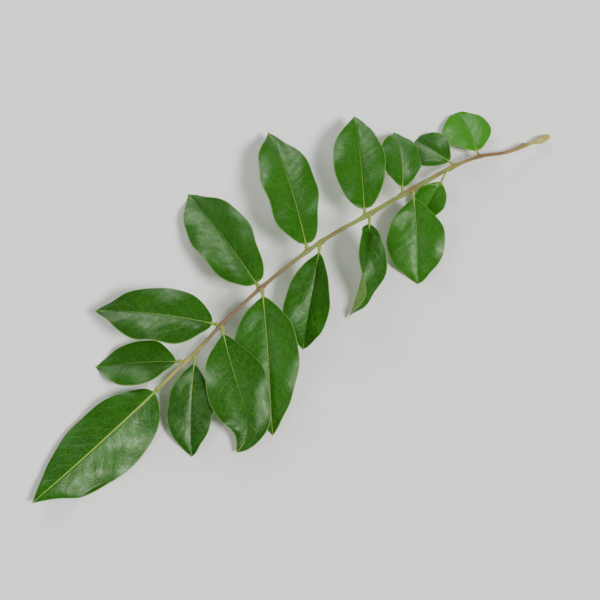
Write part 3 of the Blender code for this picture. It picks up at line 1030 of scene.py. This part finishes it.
@dataclass(frozen=True)
class Rachis:
    """The stem: a finely ridged tube from its swollen plucked base to the end leaflet."""

    leaflets: tuple[Leaflet, ...]
    sides: int = 36
    coarse: int = 20  # lengths of the stem, and below, the rings that each is cut into
    fine: int = 19
    groove: float = 0.07  # depth of the furrow along its top
    node_shoulder: float = 0.22  # how far each node stands out towards its leaflet
    petiole: float = 0.70  # the bare stretch before the leaflets, as a share of the plain solid's thickness
    petiole_end: tuple[float, float] = (26.0, 52.0)  # where it starts to thicken, and where it has
    knob: tuple[float, float, float] = (3.1, 2.7, 0.82)  # where it is, its reach, and its height
    neck: tuple[float, float, float] = (7.6, 1.3, -0.13)
    collar: tuple[float, float, float] = (13.0, 3.2, 0.13)
    bud: tuple[float, float, float] = (10.9, 1.2, 0.75)

    @staticmethod
    def radius(along: np.ndarray, length: float) -> np.ndarray:
        """The stem's radius, as the frame's solid has it.

        Args:
            along: The distances from the plucked end.
            length: The stem's length.

        Returns:
            One radius a distance.
        """
        base, tip = STEM_RADIUS
        radius = base + (tip - base) * along / length + SWELL * bump(along, *SWELL_AT)
        nodes = [bump(along, leaflet.at, NODE_REACH) for leaflet in LEAFLETS if leaflet.side is not Side.END]
        return radius + NODE_SWELL * np.max(nodes, axis=0)

    def model(self, course: Course) -> bpy.types.Object:
        """Models the stem along its course, and marks its vertices for the bark.

        Args:
            course: The rachis's course.

        Returns:
            The stem's object.
        """
        rings = self.coarse * self.fine
        piece, ring, turn = make_tube("curry_rachis", self.coarse, self.fine, self.sides)
        # The plucked face, from its middle outwards: how far in each ring lies, and its share of the radius.
        face_in = np.array([0.55, 0.50, 0.42, 0.36, 0.30, 0.05, 0.0, 0.12])
        face_out = np.array([0.02, 0.22, 0.45, 0.66, 0.80, 0.88, 0.96, 1.0])
        stem = np.linspace(0.3, course.length + 0.2, rings + 1 - len(face_in))
        along = np.concatenate([face_in, stem])
        reach = np.concatenate([face_out, np.ones(len(stem))])
        angle = np.arange(self.sides) * 2.0 * np.pi / self.sides
        shoulders = self.shoulders(along, angle)
        radius = self.slim(along, course.length)[:, None] * reach[:, None]
        radius = radius + self.ridges(along, angle) * reach[:, None]
        budding = bump(along, *self.bud[:2])[:, None] * (0.5 + 0.5 * np.cos(angle - np.pi)) ** 2
        radius = radius + self.node_shoulder * shoulders + self.bud[2] * budding
        centre, ahead = course.places(along), course.directions(along)
        left = np.cross([0.0, 0.0, 1.0], ahead)
        left /= np.linalg.norm(left, axis=1, keepdims=True)
        up = np.cross(ahead, left)
        around = np.cos(angle)[None, :, None] * left[:, None, :]
        around = around + np.sin(angle)[None, :, None] * up[:, None, :]
        places = centre[:, None, :] + around * radius[..., None]
        places = places[ring, turn]
        places[:, 2] = np.maximum(places[:, 2], 0.0)
        shape_piece(piece, places)
        write_marks(piece, "bark_map", along[ring], np.cos(angle[turn]), np.sin(angle[turn]))
        cut = (ring < len(face_in) - 1).astype(float)
        write_marks(piece, "bark_form", cut, reach[ring], shoulders[ring, turn])
        return piece

    def slim(self, along: np.ndarray, length: float) -> np.ndarray:
        """The stem's radius with a slim petiole, and the knob, neck and collar at its plucked end.

        Args:
            along: The distances from the plucked end.
            length: The stem's length.

        Returns:
            One radius a distance.
        """
        slim = self.radius(along, length) - SWELL * bump(along, *SWELL_AT)
        slim = slim * (self.petiole + (1.0 - self.petiole) * smooth(along, *self.petiole_end))
        for middle, width, height in (self.knob, self.neck, self.collar):
            slim = slim + height * bump(along, middle, width)
        return slim

    def ridges(self, along: np.ndarray, angle: np.ndarray) -> np.ndarray:
        """The stem's fine ribs, its low knots, and the furrow along its top.

        Args:
            along: The distances from the plucked end.
            angle: The directions round the stem.

        Returns:
            How far it stands out, a row for each distance and a column for each direction.
        """
        far = along[:, None]
        ribs = 0.03 * np.sin(5.0 * angle + far / 23.0) + 0.02 * np.sin(8.0 * angle - far / 31.0)
        from_top = np.angle(np.exp(1j * (angle - np.pi / 2.0)))
        furrow = self.groove * np.exp(-((from_top / 0.45) ** 2)) * smooth(along, 12.0, 30.0)[:, None]
        knots = 0.03 * np.sin(far / 1.9 + 1.3 * np.sin(far / 7.0)) * np.cos(angle - far / 9.0)
        return ribs - furrow + knots

    def shoulders(self, along: np.ndarray, angle: np.ndarray) -> np.ndarray:
        """Where the stem swells towards each leaflet that grows on its sides.

        Args:
            along: The distances from the plucked end.
            angle: The directions round the stem.

        Returns:
            1 at a leaflet's foot and 0 away from all, a row for each distance.
        """
        shoulders = np.zeros((len(along), len(angle)))
        for leaflet in self.leaflets:
            if leaflet.side is not Side.END:
                towards = np.pi if leaflet.side is Side.RIGHT else 0.0
                facing = 0.5 + 0.5 * np.cos(angle - towards)
                shoulders += bump(along, leaflet.at, 1.1)[:, None] * facing**3
        return shoulders


LEFT, RIGHT, END = Side.LEFT, Side.RIGHT, Side.END
LEAFLETS = (
    Leaflet("left_1", LEFT, 41.0, 17.0, 11.5, 22, roll=8, fold=20, bend=14, wave=0.3, tone=0.45),
    Leaflet("left_2", LEFT, 58.0, 32.0, 20.0, 57, roll=-4, bend=14, sweep=10, widest=0.5, tone=0.33),
    Leaflet("left_3", LEFT, 76.5, 35.5, 17.0, 42, roll=54, fold=34, curl=6, twist=88, lift=1.2, tone=0.1),
    Leaflet("left_4", LEFT, 97.5, 36.0, 17.0, 42, roll=-12, fold=20, curl=16, twist=30, widest=0.5,
            tone=0.14),
    Leaflet("left_5", LEFT, 124.0, 49.5, 21.5, 52, roll=-6, wave=0.8, widest=0.42, tone=0.2, wedge=0.3),
    Leaflet("left_6", LEFT, 143.0, 44.5, 20.5, 48, roll=6, fold=12, sweep=-14, wave=0.7, lift=3.2, tone=0.1,
            wedge=0.35, hook=66),
    # left_7's tone, near 0, is partly painted shade: it darkens the leaflet as if it lay in shadow.
    Leaflet("left_7", LEFT, 156.5, 33.5, 15.5, 43, roll=-4, curl=18, bend=12, sweep=-8, widest=0.5,
            tone=0.02),
    Leaflet("right_1", RIGHT, 28.5, 22.0, 16.5, 96, roll=4, curl=30, bend=12, wave=0.15, widest=0.5,
            taper=0.52, tone=0.82, uneven=0.02, point=0.0),
    Leaflet("right_2", RIGHT, 39.0, 20.5, 13.5, 82, roll=-14, curl=26, wave=0.3, widest=0.5, taper=0.54,
            tone=0.26, uneven=0.02, point=0.0),
    Leaflet("right_3", RIGHT, 62.5, 30.5, 14.0, 122, roll=10, bend=30, sweep=12, lift=3.0, tone=0.28,
            wedge=0.0),
    Leaflet("right_4", RIGHT, 79.0, 42.0, 17.5, 120, roll=-4, lift=9.0, taper=0.6, tone=0.28, wedge=-0.1),
    Leaflet("right_5", RIGHT, 103.5, 54.0, 18.5, 114, roll=6, bend=26, wave=0.9, lift=6.0, tone=0.26,
            wedge=-0.15, uneven=0.1),
    Leaflet("right_6", RIGHT, 125.0, 53.0, 20.0, 102, roll=-10, fold=14, bend=16, wave=0.7, taper=0.6,
            tone=0.22, wedge=-0.15, uneven=0.07),
    Leaflet("right_7", RIGHT, 143.5, 44.0, 21.0, 58, roll=6, sweep=4, wave=0.7, lift=7.0, widest=0.4,
            tone=0.1),
    Leaflet("right_8", RIGHT, 161.0, 32.5, 17.5, 50, roll=8, curl=16, bend=8, sweep=4, tone=0.22,
            wedge=0.25),
    Leaflet("terminal", END, 174.3, 57.0, 25.5, 1, roll=-6, fold=-16, curl=6, bend=-14, sweep=0, widest=0.4,
            taper=0.72, tone=0.16, wedge=0.05),
)


@dataclass(frozen=True)
class Sprig:
    """The whole compound leaf: its rachis and its leaflets."""

    leaflets: tuple[Leaflet, ...]
    leaf_skin: LeafSkin
    bark: GreenBark

    def build(self) -> list[bpy.types.Object]:
        """Models, dresses and places every piece, and reports each.

        Returns:
            The pieces.
        """
        course = Course(np.array(BASE_AT) + np.array(COURSE), COURSE_STEPS)
        skin, bark = self.leaf_skin.build(), self.bark.build()
        stem = Rachis(self.leaflets).model(course)
        self.settle(stem, bark, "rachis")
        pieces = [stem]
        for leaflet in self.leaflets:
            pieces.append(leaflet.model(course))
            self.settle(pieces[-1], skin, f"leaflet_{leaflet.name}")
        return pieces

    def settle(self, piece: bpy.types.Object, finish: bpy.types.Material, node: str) -> None:
        """Gives a piece its finish, and puts it in the place of its plain solid.

        Args:
            piece: The modelled piece.
            finish: Its material.
            node: The frame's node that it stands for.
        """
        piece.data.materials.clear()
        piece.data.materials.append(finish)
        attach(piece, "root")
        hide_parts(node)
        LOG.info("%s stands for %s: %d faces", piece.name, node, len(piece.data.polygons))


@dataclass(frozen=True)
class Studio:
    """A large pale table, soft light from above and a camera that looks down on the sprig."""

    table_colour: str = "#f6f6f4"
    sky_colour: str = "#fdfdfc"
    table_size: float = 30.0  # metres
    sky: float = 0.3  # what the sky sheds
    backdrop: float = 1.3  # what it shows behind the table
    azimuth: float = -37.4
    elevation: float = 66.0
    lens: float = 145.0
    fill: float = 0.86  # the sprig's share of the view's width

    def build(self, pieces: list[bpy.types.Object]) -> None:
        """Makes the table, the sky, the lights and the camera.

        Args:
            pieces: What the camera frames.
        """
        bpy.ops.object.select_all(action="DESELECT")
        bpy.ops.mesh.primitive_plane_add(size=self.table_size)
        table = bpy.context.object
        table.name = "table"
        w = Wiring("matt_white_table")
        w.shader.inputs["Base Color"].default_value = linear(self.table_colour)
        w.shader.inputs["Roughness"].default_value = 0.7
        table.data.materials.append(w.material)

        world = bpy.data.worlds.new("studio_sky")
        world.use_nodes = True
        seen = add_node(world.node_tree, "ShaderNodeLightPath", output="Is Camera Ray")
        inputs = {"Value": seen, "To Min": self.sky, "To Max": self.backdrop}
        strength = add_node(world.node_tree, "ShaderNodeMapRange", inputs)
        world.node_tree.links.new(strength, world.node_tree.nodes["Background"].inputs["Strength"])
        world.node_tree.nodes["Background"].inputs["Color"].default_value = linear(self.sky_colour)
        bpy.context.scene.world = world
        self.light("key", (0.12, -0.6, 0.79), 16.0, 3.3)
        self.light("back", (0.3, 0.87, 0.4), 24.0, 1.4)
        self.light("side", (-0.6, 0.15, 0.78), 24.0, 0.45)
        self.camera(pieces)

    def light(self, name: str, towards: tuple[float, float, float], spread: float, power: float) -> None:
        """Adds a soft light as far as the sun, so that the table is lit evenly.

        Args:
            name: The light's name.
            towards: The way to the light.
            spread: Its width in degrees.
            power: Its strength in watts a square metre.
        """
        bpy.ops.object.light_add(type="SUN")
        lamp = bpy.context.object
        lamp.name = lamp.data.name = name
        lamp.data.angle = math.radians(spread)
        lamp.data.energy = power
        lamp.rotation_euler = (-Vector(towards)).to_track_quat("-Z", "Y").to_euler()

    def camera(self, pieces: list[bpy.types.Object]) -> None:
        """Adds the camera, as far off as makes the pieces fill their share of the view.

        Args:
            pieces: What it frames.
        """
        turn, tilt = math.radians(self.azimuth), math.radians(self.elevation)
        level = math.cos(tilt)
        back = np.array([math.sin(turn) * level, -math.cos(turn) * level, math.sin(tilt)])
        right = np.array([math.cos(turn), math.sin(turn), 0.0])
        axes = np.array([right, np.cross(back, right), back])
        seen = np.vstack([read_places(piece) for piece in pieces]) @ axes.T
        low, high = seen.min(axis=0), seen.max(axis=0)
        bpy.ops.object.camera_add()
        camera = bpy.context.object
        camera.data.lens = self.lens
        distance = (high - low)[:2].max() / self.fill * self.lens / camera.data.sensor_width
        camera.location = ((low + high) / 2.0 + np.array([0.0, 0.0, distance])) @ axes
        camera.rotation_euler = Vector(-back).to_track_quat("-Z", "Y").to_euler()
        bpy.context.scene.camera = camera


def main() -> None:
    """Builds the sprig, then the studio."""
    logging.basicConfig(level=logging.INFO, format="%(message)s")
    pieces = Sprig(LEAFLETS, LeafSkin(), GreenBark()).build()
    Studio().build(pieces)


if __name__ == "__main__":
    main()
